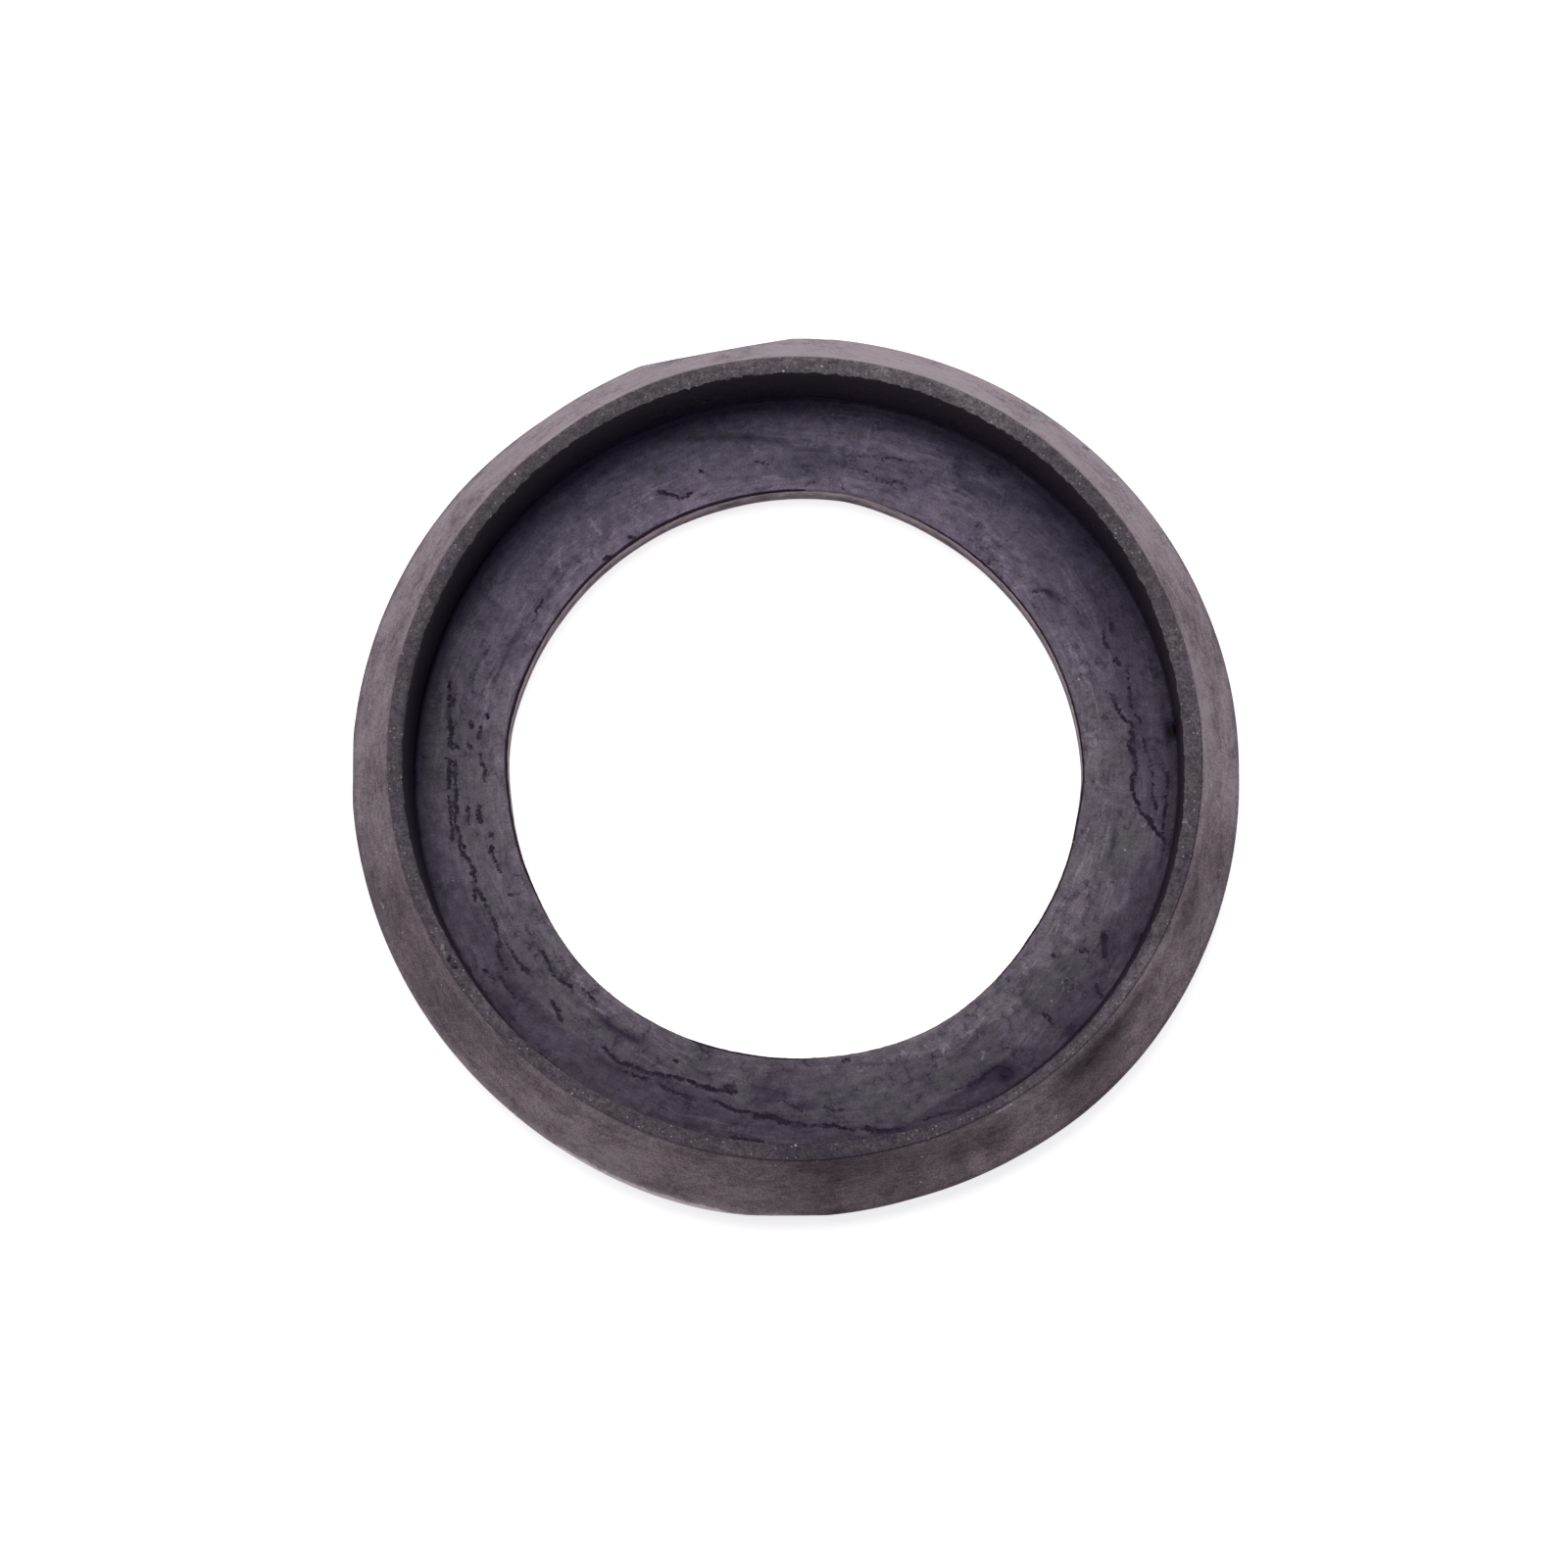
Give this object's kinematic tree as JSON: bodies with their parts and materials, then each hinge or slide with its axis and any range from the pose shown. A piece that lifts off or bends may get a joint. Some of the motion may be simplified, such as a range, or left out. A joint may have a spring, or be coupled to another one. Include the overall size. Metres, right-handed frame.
{
  "type": "tank to bowl gasket",
  "caption": "Moulded rubber ring that seals a toilet cistern to its bowl: a flat seat round a bore, inside a round recess with a narrow flat rim and a bevelled outside.",
  "frame": {"origin": "centre of the flat underside, on the ring's own axis", "axes": "+Z along the ring's axis, from the underside up through the open recess; the ring is round, so +X and +Y are free"},
  "size_m": [0.0952, 0.0952, 0.016],
  "materials": {
    "black_rubber": "matt moulded skin, dry and slightly greyed, with flow lines on the seat and a rough trimmed land on the rim"
  },
  "bodies": {
    "root": {"gasket_ring": "black_rubber"}
  },
  "joints": []
}
